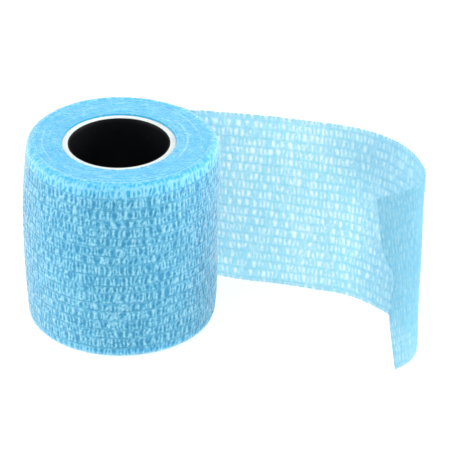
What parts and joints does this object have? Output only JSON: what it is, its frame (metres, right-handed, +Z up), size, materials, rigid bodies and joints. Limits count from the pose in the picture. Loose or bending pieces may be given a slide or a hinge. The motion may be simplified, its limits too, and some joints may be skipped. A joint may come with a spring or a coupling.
{
  "type": "cohesive bandage roll",
  "caption": "Roll of pale blue self-adhesive crepe bandage on a paperboard tube, standing on its end with its loose end peeled off and curled round.",
  "frame": {"origin": "on the surface the roll stands on, at the centre of the footprint of roll and loose end together; the roll's own axis is 25.6 mm to -X and 2.8 mm to +Y of it", "axes": "+Z up along the roll's axis; +X is the way the loose end runs out; -Y is the side that the cut edge curls round to"},
  "size_m": [0.0999, 0.0546, 0.05],
  "materials": {
    "crepe": "matt self-adhesive crepe, puckered non-woven between lengthwise elastic threads",
    "crepe_single": "the same crepe in a single layer, half see-through",
    "core_board": "off-white spiral-wound paperboard",
    "core_ply": "black printed paper, satin"
  },
  "bodies": {
    "root": {"wound_bandage": "crepe", "loose_tail": "crepe_single", "core_tube": "core_board", "core_liner": "core_ply"}
  },
  "joints": []
}
